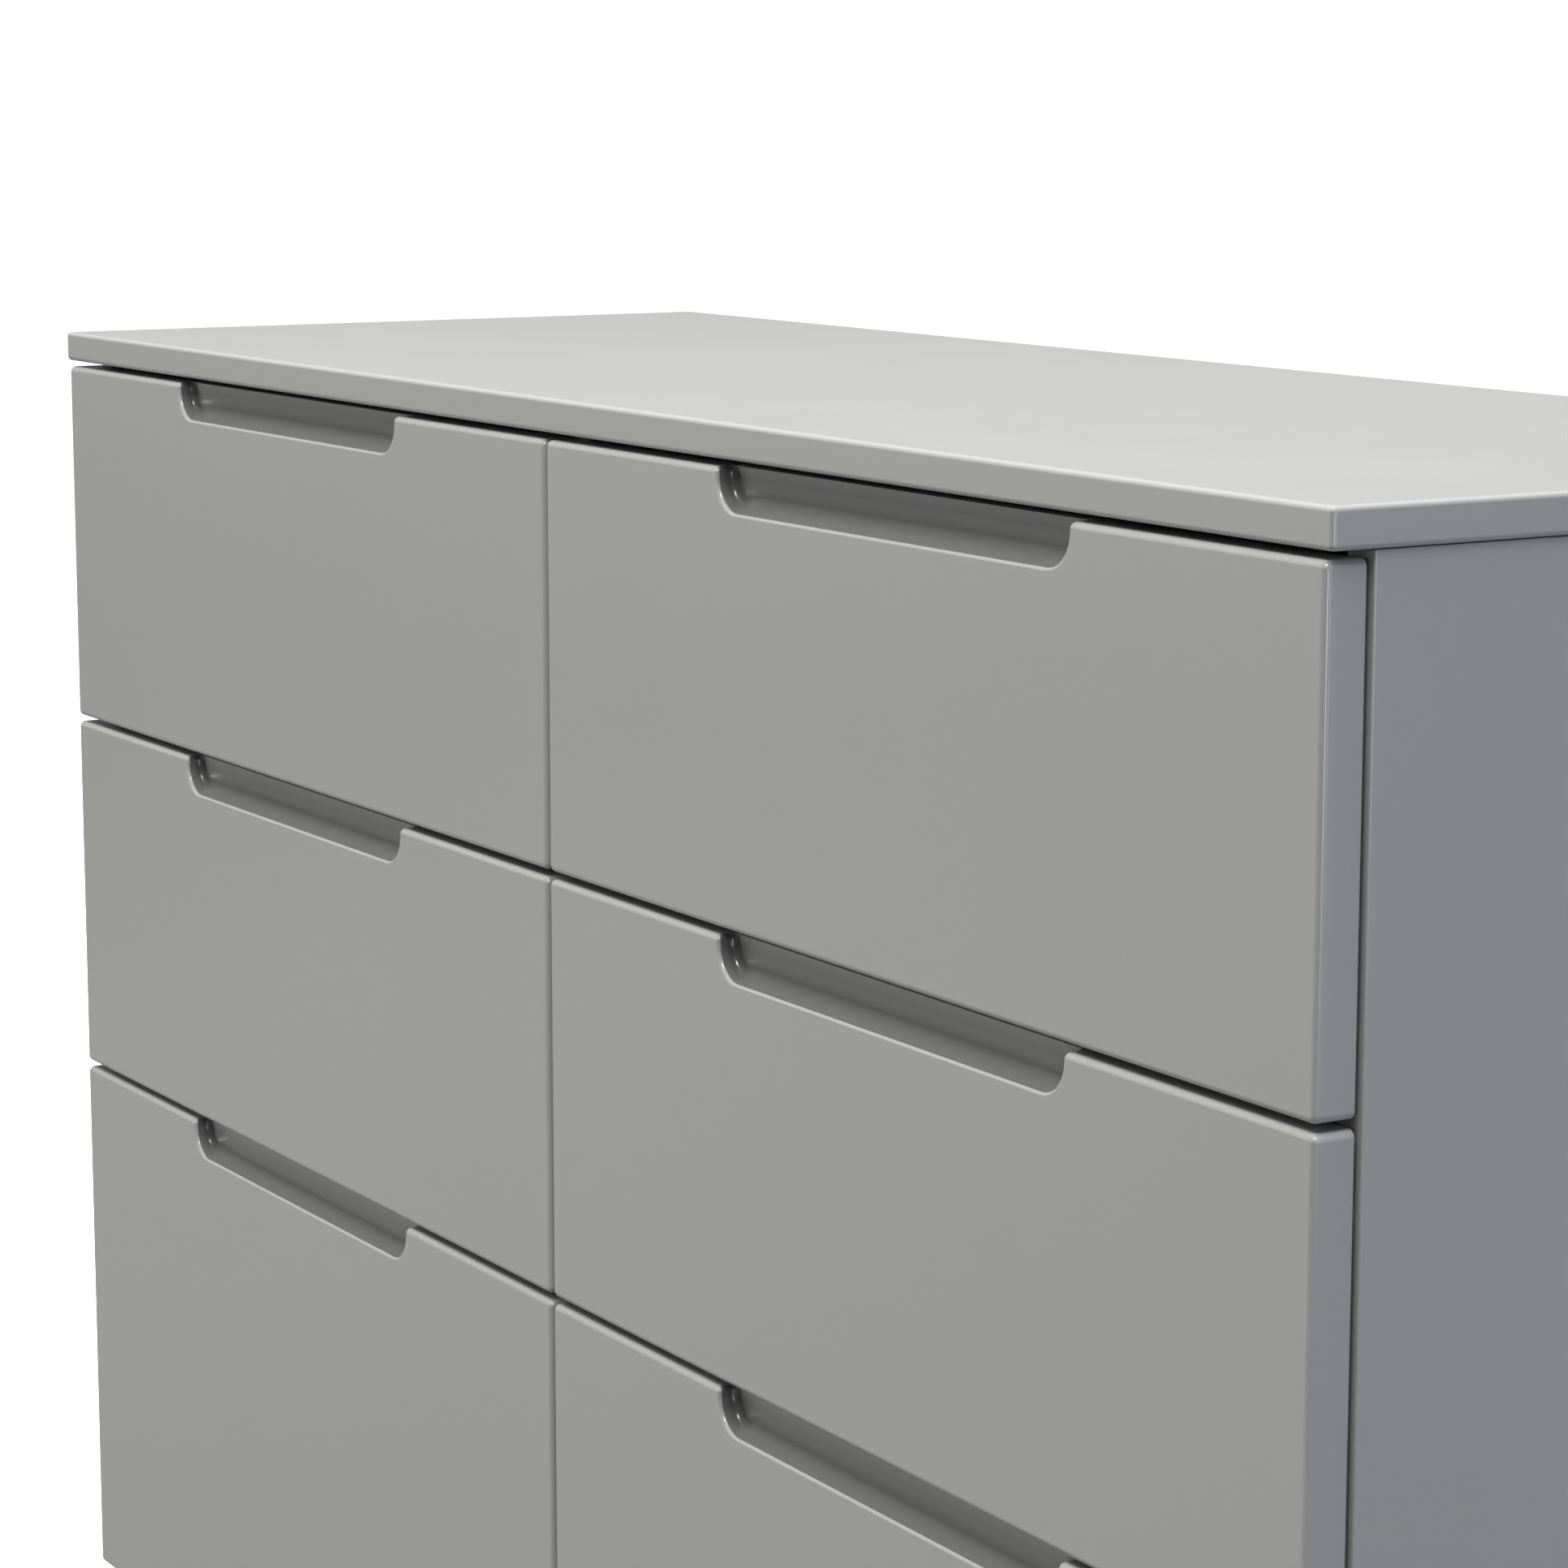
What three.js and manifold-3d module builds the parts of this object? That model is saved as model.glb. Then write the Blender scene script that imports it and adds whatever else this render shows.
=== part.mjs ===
// Chest of six drawers: two columns of three, with overlaid fronts and finger pulls cut into their top edges.
// Millimetres. +X is to the right, +Y to the back and +Z up. The origin is on the floor below the middle.
import * as THREE from 'three';
import { mergeVertices } from 'three/addons/utils/BufferGeometryUtils.js';
import Module from 'manifold-3d';

// Driving dimensions
const width = 1120;             // over the top panel
const depth = 394.5;            // over the top panel
const height = 795;             // floor to the top surface
const board = 15.4;             // top, sides, divider, bottom and plinth
const frontThickness = 18;
const frontHeights = [193.5, 193.5, 291.5];     // upper, middle and lower row
const topGap = 3.1;             // top panel to the upper fronts
const rowGap = 3.25;            // between the rows
const columnGap = 2.5;          // between the two columns
const frontInset = 3.25;        // top panel's end to the fronts' end
const sideInset = 1.5;          // top panel's end to the side panel
const bufferGap = 1.5;          // fronts to the carcass, held open by soft buffers
const topRadius = 2.2;          // edges of the top panel
const frontRadius = 2.8;        // edges of the fronts
const fitGap = 0.3;             // between pieces that touch

const pull = { width: 254.6, drop: 18.5, depth: 9.2, cornerRadius: 15.4, rimRadius: 2.7, fillet: 3 };

const backPanel = { thickness: 3, groove: 3.4, grooveDepth: 6, setIn: 11.5, foot: 66 };
const plinth = { frontSetBack: 34, backSetIn: 24 };
const bottomDrop = 5;           // bottom panel's underside below the lowest fronts
const glide = { height: 4, radius: 7.5, inset: 40 };

const drawerBoard = 12;         // sides and back of a drawer box
const drawerClearance = 2.6;    // drawer side to carcass
const drawerRise = 16;          // front's lower edge to the drawer box
const drawerHeights = [122, 122, 206];
const drawerLength = 350;       // drawer side, front to back
const bottomSheet = { thickness: 3, slot: 3.5, slotDepth: 6, rise: 10 };
const runner = { length: 330, height: 10, reach: 7, flange: 2, flangeHeight: 19, riseInBox: 40, setBack: 8 };
const runnerGroove = { height: 10.8, depth: 5.5 };
const drawerEdge = 1;           // chamfer along the upper edge of a drawer side

const rows = ['upper', 'middle', 'lower'];
const columns = ['left', 'right'];

// Places worked out from the driving dimensions
const frontY = -depth / 2;
const backY = depth / 2;
const frontBackY = frontY + frontThickness;
const carcassY = frontBackY + bufferGap;
const underTop = height - board;
const sideOuter = width / 2 - sideInset;
const sideInner = sideOuter - board;
const dividerHalf = board / 2;
const backPanelY = backY - backPanel.setIn;
const innerBackY = backPanelY - fitGap;
const frontWidth = (width - 2 * frontInset - columnGap) / 2;
const frontCentre = (columnGap + frontWidth) / 2;
const bayCentre = (sideInner + dividerHalf) / 2;
const bayWidth = sideInner - dividerHalf;
const frontTops = frontHeights.map((_, row) => underTop - topGap
  - frontHeights.slice(0, row).reduce((sum, each) => sum + each + rowGap, 0));
const lowestFront = frontTops[2] - frontHeights[2];
const bottomZ = lowestFront - bottomDrop;

const paint = (color, roughness) => new THREE.MeshStandardMaterial({ color, roughness, metalness: 0 });
const lacquer = () => paint(0x9c9c99, 0.42);
const boxFoil = () => paint(0xd9d8d3, 0.5);
const hardboard = () => paint(0xcfccc4, 0.6);
const nylon = () => paint(0xe9e8e3, 0.45);
const glidePlastic = () => paint(0x4a4a4c, 0.5);

const chest = new THREE.Group();

function addPiece(name, geometry, material, place = [0, 0, 0], turn = [0, 0, 0], parent = chest) {
  const mesh = new THREE.Mesh(geometry, material);
  mesh.name = name;
  mesh.position.set(...place);
  mesh.rotation.set(...turn);
  parent.add(mesh);
  return mesh;
}

// A board between two corners, with every edge eased by a small chamfer.
function easedBoard(low, high, ease = 0.6) {
  const [w, d, h] = high.map((value, axis) => value - low[axis]);
  const outline = new THREE.Shape([
    [-w / 2 + ease, -d / 2], [w / 2 - ease, -d / 2], [w / 2, -d / 2 + ease], [w / 2, d / 2 - ease],
    [w / 2 - ease, d / 2], [-w / 2 + ease, d / 2], [-w / 2, d / 2 - ease], [-w / 2, -d / 2 + ease],
  ].map(([x, y]) => new THREE.Vector2(x, y)));
  const geometry = new THREE.ExtrudeGeometry(outline, {
    depth: h - 2 * ease, steps: 1, bevelEnabled: true, bevelSegments: 1,
    bevelThickness: ease, bevelSize: ease, bevelOffset: -ease,
  });
  geometry.translate((low[0] + high[0]) / 2, (low[1] + high[1]) / 2, low[2] + ease);
  return geometry;
}

// A section drawn in X and Z, run along Y from one place to another.
function alongY(points, fromY, toY) {
  const section = new THREE.Shape(points.map(([x, z]) => new THREE.Vector2(x, z)));
  const geometry = new THREE.ExtrudeGeometry(section, { depth: toY - fromY, steps: 1, bevelEnabled: false });
  geometry.rotateX(Math.PI / 2);
  geometry.translate(0, toY, 0);
  return geometry;
}

// A section drawn in X and Y, run up Z.
function alongZ(points, fromZ, toZ) {
  const section = new THREE.Shape(points.map(([x, y]) => new THREE.Vector2(x, y)));
  const geometry = new THREE.ExtrudeGeometry(section, { depth: toZ - fromZ, steps: 1, bevelEnabled: false });
  geometry.translate(0, 0, fromZ);
  return geometry;
}

// Points round an arc, angles in degrees.
function arc(centreX, centreZ, radius, from, to, steps) {
  return Array.from({ length: steps + 1 }, (_, step) => {
    const angle = THREE.MathUtils.degToRad(from + ((to - from) * step) / steps);
    return [centreX + radius * Math.cos(angle), centreZ + radius * Math.sin(angle)];
  });
}

// A slab lying in X and Z with all its edges rounded, its front face at Y = 0 and its back at Y = thickness.
// Its corners are a little rounder than its edges, so that the faces keep four true corners.
function roundedSlab(w, thickness, h, radius, steps) {
  const corner = radius + 0.4;
  const [x, z] = [w / 2 - corner, h / 2 - corner];
  const outline = new THREE.Shape([
    ...arc(x, z, corner, 0, 90, steps), ...arc(-x, z, corner, 90, 180, steps),
    ...arc(-x, -z, corner, 180, 270, steps), ...arc(x, -z, corner, 270, 360, steps),
  ].map(([px, pz]) => new THREE.Vector2(px, pz)));
  const geometry = new THREE.ExtrudeGeometry(outline, {
    depth: thickness - 2 * radius, steps: 1, bevelEnabled: true, bevelSegments: steps,
    bevelThickness: radius, bevelSize: radius, bevelOffset: -radius,
  });
  geometry.rotateX(Math.PI / 2);
  geometry.translate(0, thickness - radius, 0);
  return geometry;
}

// Half of the finger pull's outline, from above the front's top edge down to its level bottom. The rim arc
// flares out at the top, the corner arc turns into the bottom, and inset moves the outline inwards.
function pullOutline(inset) {
  const { width: w, drop, cornerRadius, rimRadius } = pull;
  const rimSteps = 3;
  const cornerSteps = 5;
  return [
    [-w / 2 - rimRadius, 2 * rimRadius + inset],
    ...arc(-w / 2 - rimRadius, -rimRadius, rimRadius + inset, 90, 0, rimSteps),
    ...arc(-w / 2 + cornerRadius, cornerRadius - drop, cornerRadius - inset, 180, 270, cornerSteps),
  ];
}

// The hollow of a finger pull: straight walls, then a fillet all round to the flat back.
function pullCutter() {
  const steps = 3;
  const ahead = 5;
  const straight = pull.depth - pull.fillet;
  const layers = Array.from({ length: steps + 1 }, (_, step) => {
    const angle = (Math.PI / 2) * (step / steps);
    return { y: straight + pull.fillet * Math.sin(angle), inset: pull.fillet * (1 - Math.cos(angle)) };
  });
  layers.unshift({ y: -ahead, inset: 0 });
  const rings = layers.map(({ y, inset }) => {
    const half = pullOutline(inset);
    const mirrored = half.map(([x, z]) => [-x, z]).reverse();
    return [...half, ...mirrored].map(([x, z]) => [x, y, z]);
  });
  const count = rings[0].length;
  const faces = [];
  rings.slice(1).forEach((_, ring) => {
    for (let point = 0; point < count; point += 1) {
      const next = (point + 1) % count;
      const [a, b] = [ring * count + point, ring * count + next];
      faces.push(a, a + count, b, b, a + count, b + count);
    }
  });
  const flat = rings[0].map(([x, , z]) => new THREE.Vector2(x, z));
  const caps = THREE.ShapeUtils.triangulateShape(flat, []);
  const last = (rings.length - 1) * count;
  caps.forEach(([a, b, c]) => faces.push(a, b, c, last + a, last + c, last + b));
  const geometry = new THREE.BufferGeometry();
  geometry.setAttribute('position', new THREE.Float32BufferAttribute(rings.flat(2), 3));
  geometry.setIndex(faces);
  return geometry;
}

const wasm = await Module();
wasm.setup();

function toSolid(geometry) {
  const bare = geometry.clone();
  bare.deleteAttribute('normal');
  bare.deleteAttribute('uv');
  const merged = mergeVertices(bare, 1e-4);
  return new wasm.Manifold(new wasm.Mesh({
    numProp: 3,
    vertProperties: new Float32Array(merged.attributes.position.array),
    triVerts: new Uint32Array(merged.index.array),
  }));
}

function fromSolid(solid) {
  const mesh = solid.getMesh();
  const geometry = new THREE.BufferGeometry();
  geometry.setAttribute('position', new THREE.BufferAttribute(mesh.vertProperties, 3));
  geometry.setIndex(new THREE.BufferAttribute(mesh.triVerts, 1));
  geometry.computeVertexNormals();
  return geometry;
}

function drawerFront(h) {
  const slab = toSolid(roundedSlab(frontWidth, frontThickness, h, frontRadius, 3));
  const cutter = toSolid(pullCutter()).translate([0, 0, h / 2]);
  return fromSolid(slab.subtract(cutter));
}

// Carcass
function addCarcass() {
  const top = roundedSlab(width, board, depth, topRadius, 3);
  addPiece('top_panel', top, lacquer(), [0, 0, underTop], [Math.PI / 2, 0, 0]);

  const grooveFront = backPanelY - (backPanel.groove - backPanel.thickness) / 2;
  const grooveBack = grooveFront + backPanel.groove;
  const grooveX = sideInner + backPanel.grooveDepth;
  const ease = 1;
  const sideSection = [
    [sideInner + ease, carcassY], [sideOuter - ease, carcassY], [sideOuter, carcassY + ease],
    [sideOuter, backY], [sideInner, backY], [sideInner, grooveBack], [grooveX, grooveBack],
    [grooveX, grooveFront], [sideInner, grooveFront], [sideInner, carcassY + ease],
  ];
  const sideLow = glide.height;
  const sideHigh = underTop - fitGap;
  addPiece('side_panel_right', alongZ(sideSection, sideLow, sideHigh), lacquer());
  const mirrored = sideSection.map(([x, y]) => [-x, y]).reverse();
  addPiece('side_panel_left', alongZ(mirrored, sideLow, sideHigh), lacquer());

  const reach = sideInner - fitGap;
  const bottomTop = bottomZ + board;
  addPiece('bottom_panel', easedBoard([-reach, carcassY, bottomZ],
    [reach, innerBackY, bottomTop]), lacquer());
  addPiece('centre_divider', easedBoard([-dividerHalf, carcassY, bottomTop + fitGap],
    [dividerHalf, innerBackY, sideHigh]), lacquer());

  const plinthTop = bottomZ - fitGap;
  const plinthFrontY = carcassY + plinth.frontSetBack;
  const plinthBackY = backY - plinth.backSetIn;
  addPiece('plinth_front', easedBoard([-reach, plinthFrontY, glide.height],
    [reach, plinthFrontY + board, plinthTop]), lacquer());
  addPiece('plinth_back', easedBoard([-reach, plinthBackY - board, glide.height],
    [reach, plinthBackY, plinthTop]), lacquer());
  addPiece('plinth_brace', easedBoard([-dividerHalf, plinthFrontY + board + fitGap, glide.height],
    [dividerHalf, plinthBackY - board - fitGap, plinthTop]), lacquer());

  const backReach = sideInner + backPanel.grooveDepth - 2 * fitGap;
  const backEnds = { left: [-backReach, -fitGap], right: [fitGap, backReach] };
  columns.forEach((column) => {
    const [fromX, toX] = backEnds[column];
    const sheet = easedBoard([fromX, backPanelY, backPanel.foot],
      [toX, backPanelY + backPanel.thickness, sideHigh], 0.2);
    addPiece(`back_panel_${column}`, sheet, hardboard());
  });
}

// Round plastic glides under the side panels and the brace
function addGlides() {
  const lines = { left: -sideOuter + board / 2, centre: 0, right: sideOuter - board / 2 };
  const { radius } = glide;
  const footTop = glide.height - fitGap;
  const places = { front: carcassY + plinth.frontSetBack + glide.inset, back: backY - glide.inset - board };
  Object.entries(lines).forEach(([side, x]) => {
    Object.entries(places).forEach(([end, y]) => {
      const profile = [[0, 0], [radius - 1, 0], [radius, 1], [radius, footTop], [0, footTop]];
      const foot = new THREE.LatheGeometry(profile.map(([r, z]) => new THREE.Vector2(r, z)), 24);
      foot.rotateX(Math.PI / 2);
      addPiece(`floor_glide_${side}_${end}`, foot, glidePlastic(), [x, y, 0]);
    });
  });
}

// Height of a drawer's runner above the floor
const runnerZ = (row) => frontTops[row] - frontHeights[row] + drawerRise + runner.riseInBox;

// Plastic strips on the carcass that the drawer sides' grooves slide on
function addRunners() {
  const { height: h, reach, flange, flangeHeight } = runner;
  const fromY = carcassY + runner.setBack;
  const strip = [
    [fitGap, -flangeHeight / 2], [flange, -flangeHeight / 2], [flange, -h / 2], [reach, -h / 2],
    [reach, h / 2], [flange, h / 2], [flange, flangeHeight / 2], [fitGap, flangeHeight / 2],
  ];
  rows.forEach((rowName, row) => {
    columns.forEach((column) => {
      const centre = column === 'left' ? -bayCentre : bayCentre;
      ['left', 'right'].forEach((side) => {
        const wall = centre + (side === 'left' ? -bayWidth / 2 : bayWidth / 2);
        const inward = side === 'left' ? 1 : -1;
        const section = strip.map(([x, z]) => [wall + inward * x, runnerZ(row) + z]);
        if (inward < 0) section.reverse();
        const rail = alongY(section, fromY, fromY + runner.length);
        addPiece(`runner_${rowName}_${column}_${side}`, rail, nylon());
      });
    });
  });
}

// One drawer: its front and the box behind it
function addDrawer(row, column) {
  const drawer = new THREE.Group();
  chest.add(drawer);
  const name = (piece) => `drawer_${rows[row]}_${column}_${piece}`;
  const sign = column === 'left' ? -1 : 1;
  const frontMiddle = frontTops[row] - frontHeights[row] / 2;
  addPiece(name('front'), drawerFront(frontHeights[row]), lacquer(),
    [sign * frontCentre, frontY, frontMiddle], [0, 0, 0], drawer);

  const low = frontTops[row] - frontHeights[row] + drawerRise;
  const high = low + drawerHeights[row];
  const fromY = frontBackY + fitGap;
  const toY = fromY + drawerLength;
  const outer = bayWidth / 2 - drawerClearance;
  const inner = outer - drawerBoard;
  const centre = sign * bayCentre;
  const grooveX = outer - runnerGroove.depth;
  const [grooveLow, grooveHigh] = [-1, 1].map((end) => runnerZ(row) + (end * runnerGroove.height) / 2);
  const slotLow = low + bottomSheet.rise;
  const slotHigh = slotLow + bottomSheet.slot;
  const slotX = inner + bottomSheet.slotDepth;
  const sideSection = [
    [inner, low], [outer, low], [outer, grooveLow], [grooveX, grooveLow], [grooveX, grooveHigh],
    [outer, grooveHigh], [outer, high - drawerEdge], [outer - drawerEdge, high], [inner + drawerEdge, high],
    [inner, high - drawerEdge], [inner, slotHigh], [slotX, slotHigh], [slotX, slotLow], [inner, slotLow],
  ];
  const right = sideSection.map(([x, z]) => [centre + x, z]);
  const left = sideSection.map(([x, z]) => [centre - x, z]).reverse();
  addPiece(name('side_right'), alongY(right, fromY, toY), boxFoil(), [0, 0, 0], [0, 0, 0], drawer);
  addPiece(name('side_left'), alongY(left, fromY, toY), boxFoil(), [0, 0, 0], [0, 0, 0], drawer);

  const sheetLow = slotLow + (bottomSheet.slot - bottomSheet.thickness) / 2;
  const sheetHigh = sheetLow + bottomSheet.thickness;
  const backReach = inner - fitGap;
  const backLow = sheetHigh + fitGap;
  addPiece(name('back'), easedBoard([centre - backReach, toY - drawerBoard, backLow],
    [centre + backReach, toY, high]), boxFoil(), [0, 0, 0], [0, 0, 0], drawer);
  const sheetReach = slotX - fitGap;
  addPiece(name('bottom'), easedBoard([centre - sheetReach, fromY, sheetLow],
    [centre + sheetReach, toY, sheetHigh], 0.2), hardboard(), [0, 0, 0], [0, 0, 0], drawer);
}

addCarcass();
addGlides();
addRunners();
rows.forEach((_, row) => columns.forEach((column) => addDrawer(row, column)));

export default chest;
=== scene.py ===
# Chest of six drawers in grey satin lacquer: the looks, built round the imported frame.
import math

import bmesh
import bpy
import numpy as np
from mathutils import Euler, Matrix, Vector


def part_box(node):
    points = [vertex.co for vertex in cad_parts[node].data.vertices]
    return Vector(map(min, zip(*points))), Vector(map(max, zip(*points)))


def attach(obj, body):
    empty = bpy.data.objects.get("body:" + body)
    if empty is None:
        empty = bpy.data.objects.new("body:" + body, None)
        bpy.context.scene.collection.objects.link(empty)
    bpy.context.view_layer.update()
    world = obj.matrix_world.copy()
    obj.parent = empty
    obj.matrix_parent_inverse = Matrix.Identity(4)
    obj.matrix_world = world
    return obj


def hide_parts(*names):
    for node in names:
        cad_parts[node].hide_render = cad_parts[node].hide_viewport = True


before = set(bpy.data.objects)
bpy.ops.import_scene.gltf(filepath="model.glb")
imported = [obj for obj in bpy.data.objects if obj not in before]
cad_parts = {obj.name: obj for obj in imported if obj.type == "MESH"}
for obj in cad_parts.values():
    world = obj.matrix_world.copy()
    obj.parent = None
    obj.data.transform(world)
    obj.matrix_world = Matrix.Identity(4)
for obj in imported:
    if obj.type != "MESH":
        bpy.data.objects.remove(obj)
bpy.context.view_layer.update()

mm = 0.001
fitGap = 0.3    # millimetres that the frame leaves between pieces that touch
rows = ["upper", "middle", "lower"]
columns = ["left", "right"]
finishes = {}   # record slot to its material, filled as the materials are made


# Camera, floor and light

view = {
    "place": (1.7016, -1.09455, 0.9393),     # metres
    "pitch": 9.366, "turn": 59.036,          # degrees below the horizon, degrees left of straight ahead
    "lens": 100, "sensor": 36,               # millimetres
}
studio = {
    "seen": 1.0, "ambient": 0.17, "ambientColour": "#EAF0F3",
    "floorSeen": "#F7F7F6", "floorBounce": "#7C7C7C", "floorSize": 40,
    "floorGlow": 0.7, "glowFrom": (0.9, 1.9),      # the glow grows to full between these distances, metres
}
lamps = {
    # place and target in metres, size in metres, power in watts, tint as shares of red, green and blue.
    # A soft lamp lights the boards but isn't mirrored in them, and a glint is only mirrored in their edges.
    "overheadWide": dict(place=(0.3, 0, 3.2), target=(0.3, 0, 0.6), size=(3.4, 3.2), power=222,
                         tint=(1.0, 1.0, 0.99), kind="soft"),
    "overheadFront": dict(place=(0.2, -1.6, 3.0), target=(0.2, 0, 0.4), size=(2.6, 1.2), power=64,
                          tint=(1.0, 1.0, 0.98), kind="soft"),
    "overheadLeft": dict(place=(-2.6, -1.0, 2.8), target=(0, 0, 0.5), size=(1.6, 1.6), power=24,
                         tint=(1.02, 1.02, 0.97), kind="soft"),
    "frontLeft": dict(place=(-2.4, -2.6, 1.5), target=(-0.4, -0.2, 0.5), size=(1.6, 1.6), power=42,
                      tint=(1.05, 1.03, 1.0), kind="soft"),
    "sideStrip": dict(place=(3.9, 1.05, 1.0), target=(0.56, -0.1, 0.6), size=(0.9, 2.2), power=32,
                      tint=(0.86, 0.93, 1.3)),
    "sparkle": dict(place=(2.24, -1.8, 4.06), target=(0.56, -0.2, 0.78), size=(0.4, 0.4), power=160,
                    tint=(0.97, 0.98, 1.05), kind="glint"),
    # the strip stays lower than the top panel, which would mirror it from behind
    "edgeStrip": dict(place=(3.79, -1.25, 0.4), target=(0.56, -0.2, 0.4), size=(0.5, 0.74), power=22,
                      tint=(0.95, 0.95, 1.15), kind="glint"),
    "backFill": dict(place=(0.6, 4.0, 1.6), target=(0, 0.2, 0.5), size=(2.6, 2.0), power=70, tint=(1, 1, 1),
                     kind="soft"),
}


def linear(hexColour):
    # sRGB hex to linear red, green, blue, alpha
    values = np.array([int(hexColour[i:i + 2], 16) for i in (1, 3, 5)]) / 255
    low = values / 12.92
    high = ((values + 0.055) / 1.055) ** 2.4
    return (*np.where(values <= 0.04045, low, high).tolist(), 1.0)


def addNode(tree, kind, settings=None, links=None):
    # a node with its attributes or input values, and its inputs linked from other nodes' outputs
    node = tree.nodes.new(kind)
    for key, value in (settings or {}).items():
        if isinstance(key, int) or key in node.inputs:
            node.inputs[key].default_value = value
        else:
            setattr(node, key, value)
    for key, output in (links or {}).items():
        tree.links.new(output, node.inputs[key])
    return node


def addCamera():
    camera = bpy.data.objects.new("camera", bpy.data.cameras.new("camera"))
    camera.data.lens = view["lens"]
    camera.data.sensor_width = view["sensor"]
    camera.data.clip_end = 50
    camera.location = view["place"]
    camera.rotation_euler = Euler((math.radians(90 - view["pitch"]), 0, math.radians(view["turn"])))
    bpy.context.collection.objects.link(camera)
    bpy.context.scene.camera = camera


def addWorld():
    # white to look at, dimmer as a light, so that the lamps shape the boards
    world = bpy.data.worlds.new("studioWhite")
    world.use_nodes = True
    tree = world.node_tree
    tree.nodes.clear()
    seen = addNode(tree, "ShaderNodeBackground", {"Color": (1, 1, 1, 1), "Strength": studio["seen"]})
    lights = addNode(tree, "ShaderNodeBackground",
                     {"Color": linear(studio["ambientColour"]), "Strength": studio["ambient"]})
    path = addNode(tree, "ShaderNodeLightPath")
    mix = addNode(tree, "ShaderNodeMixShader", None,
                  {0: path.outputs["Is Camera Ray"], 1: lights.outputs[0], 2: seen.outputs[0]})
    addNode(tree, "ShaderNodeOutputWorld", None, {"Surface": mix.outputs[0]})
    bpy.context.scene.world = world


def addFloor():
    half = studio["floorSize"] / 2
    corners = [(-half, -half, 0), (half, -half, 0), (half, half, 0), (-half, half, 0)]
    mesh = bpy.data.meshes.new("studioFloor")
    mesh.from_pydata(corners, [], [(0, 1, 2, 3)])
    floor = bpy.data.objects.new("studioFloor", mesh)
    bpy.context.collection.objects.link(floor)
    # matt paper, bright to look at and with some glow, that throws less light back up than it shows
    paper = bpy.data.materials.new("palePaper")
    paper.use_nodes = True
    tree = paper.node_tree
    shader = tree.nodes["Principled BSDF"]
    shader.inputs["Roughness"].default_value = 0.9
    shader.inputs["Specular IOR Level"].default_value = 0.1
    seen = addNode(tree, "ShaderNodeLightPath").outputs["Is Camera Ray"]
    colour = addNode(tree, "ShaderNodeMix", {"data_type": "RGBA", 6: linear(studio["floorBounce"]),
                                             7: linear(studio["floorSeen"])}, {0: seen})
    place = addNode(tree, "ShaderNodeTexCoord").outputs["Object"]
    away = addNode(tree, "ShaderNodeVectorMath", {"operation": "LENGTH"}, {0: place}).outputs["Value"]
    near, far = studio["glowFrom"]
    spread = addNode(tree, "ShaderNodeMapRange",
                     {"interpolation_type": "SMOOTHSTEP", "From Min": near, "From Max": far,
                      "To Min": studio["floorGlow"], "To Max": 1.0}, {"Value": away})
    glow = addNode(tree, "ShaderNodeMath", {"operation": "MULTIPLY"}, {0: seen, 1: spread.outputs["Result"]})
    tree.links.new(colour.outputs[2], shader.inputs["Base Color"])
    shader.inputs["Emission Color"].default_value = (1, 1, 1, 1)
    tree.links.new(glow.outputs[0], shader.inputs["Emission Strength"])
    mesh.materials.append(paper)


def addLamps():
    for name, lamp in lamps.items():
        light = bpy.data.lights.new(name, "AREA")
        light.shape = "RECTANGLE"
        light.size, light.size_y = lamp["size"]
        light.energy = lamp["power"]
        light.color = lamp["tint"]
        holder = bpy.data.objects.new(name, light)
        holder.visible_glossy = lamp.get("kind") != "soft"
        holder.visible_diffuse = lamp.get("kind") != "glint"
        holder.location = lamp["place"]
        aim = Vector(lamp["target"]) - Vector(lamp["place"])
        holder.rotation_euler = aim.to_track_quat("-Z", "Y").to_euler()
        bpy.context.collection.objects.link(holder)


addCamera()
addWorld()
addFloor()
addLamps()
bpy.context.scene.view_settings.view_transform = "Standard"
bpy.context.scene.view_settings.look = "None"
print("camera, floor and light are set")


# Finishes

lacquer = {
    "colour": "#959593", "tint": 0.003,          # tint is how far the colour drifts, as a share
    "roughness": (0.234, 0.246), "ior": 1.5,     # lowest and highest roughness
    "peelSpacing": 1.6, "peelHeight": 0.0015,     # mm, the spray's orange peel
    # painted shade inside the pull recesses: the colour there is multiplied by this grey
    "recessShadeTone": "#AAAAAA",                     # multiplies the colour in the pulls
    "driftSpacing": 140,
}
foil = {"colour": "#D9D8D3", "tint": 0.015, "roughness": (0.41, 0.48),
        "grainSpacing": 0.9, "grainHeight": 0.006, "driftSpacing": 90}
sheet = {"colour": "#CFCCC4", "tint": 0.035, "roughness": 0.58,
         "fibreSpacing": 2.4, "fibreHeight": 0.02, "fleckSpacing": 3.2}
nylon = {"colour": "#E9E8E3", "tint": 0.012, "roughness": 0.42, "lightInside": 0.08, "lightDepth": 0.002,
         "flowSpacing": 12, "flowHeight": 0.01, "driftSpacing": 48}
glidePlastic = {"colour": "#4A4A4C", "tint": 0.04, "roughness": 0.5,
                "grainSpacing": 0.7, "grainHeight": 0.02, "driftSpacing": 6}
zinc = {"colour": "#B9BBBD", "tint": 0.05, "roughness": (0.29, 0.4),
        "grainSpacing": 0.5, "grainHeight": 0.004, "mottleSpacing": 4, "driftSpacing": 3}


def startMaterial(name):
    material = bpy.data.materials.new(name)
    material.use_nodes = True
    tree = material.node_tree
    shader = tree.nodes["Principled BSDF"]
    place = addNode(tree, "ShaderNodeTexCoord").outputs["Object"]
    return material, tree, shader, place


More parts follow.
